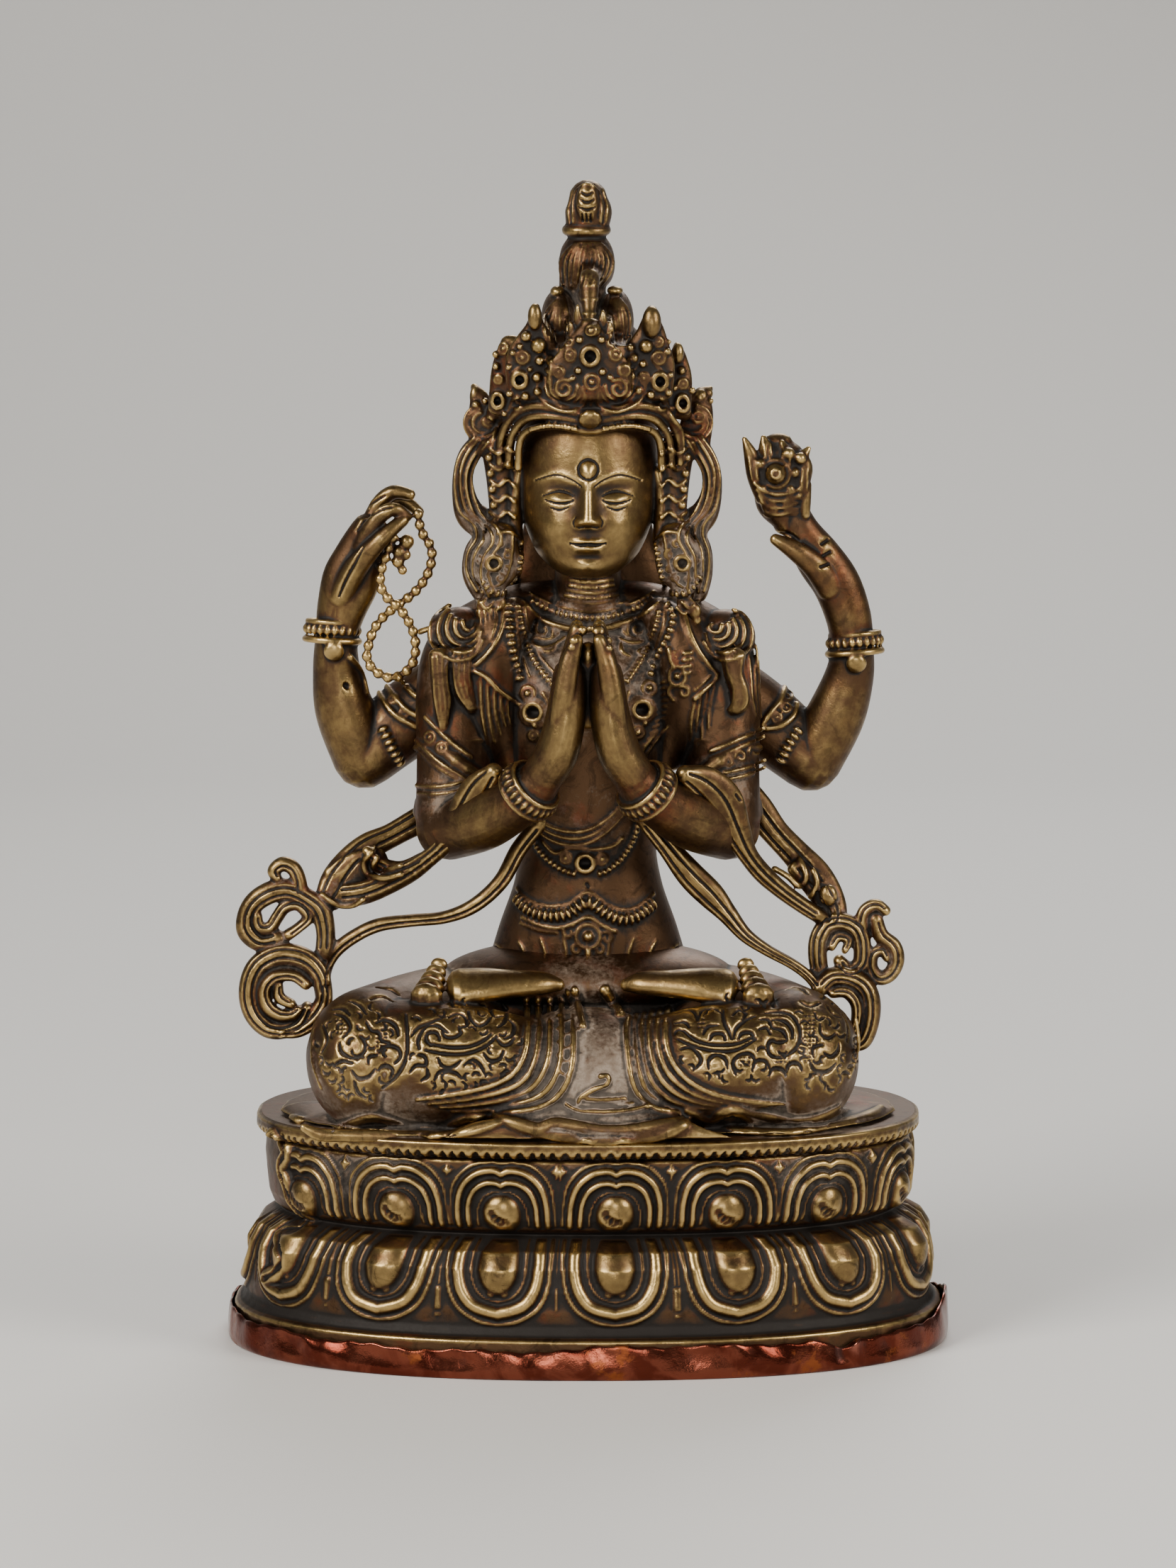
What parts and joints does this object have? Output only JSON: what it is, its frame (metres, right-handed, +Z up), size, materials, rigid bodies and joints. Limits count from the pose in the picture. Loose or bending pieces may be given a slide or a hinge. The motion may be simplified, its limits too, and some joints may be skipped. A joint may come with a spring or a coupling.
{
  "type": "bodhisattva statue",
  "caption": "Seated multi-armed bodhisattva statue in cast brass on a double lotus throne, closed below by a crimped copper sheet.",
  "frame": {"origin": "bottom centre of the base, at the middle of the copper sheet's underside", "axes": "+Z up; the figure looks along -Y; +X to the viewer's right when facing it"},
  "size_m": [0.1348, 0.0896, 0.2117],
  "materials": {
    "figure_brass": "cast brass, polished high points over dark brown patina",
    "throne_brass": "cast brass, rubbed petals over near-black patina",
    "copper_sheet": "hammered red-brown copper with a glossy lacquered look"
  },
  "bodies": {
    "root": {"figure": "figure_brass", "lotus_throne": "throne_brass", "base_sheet": "copper_sheet"}
  },
  "joints": []
}
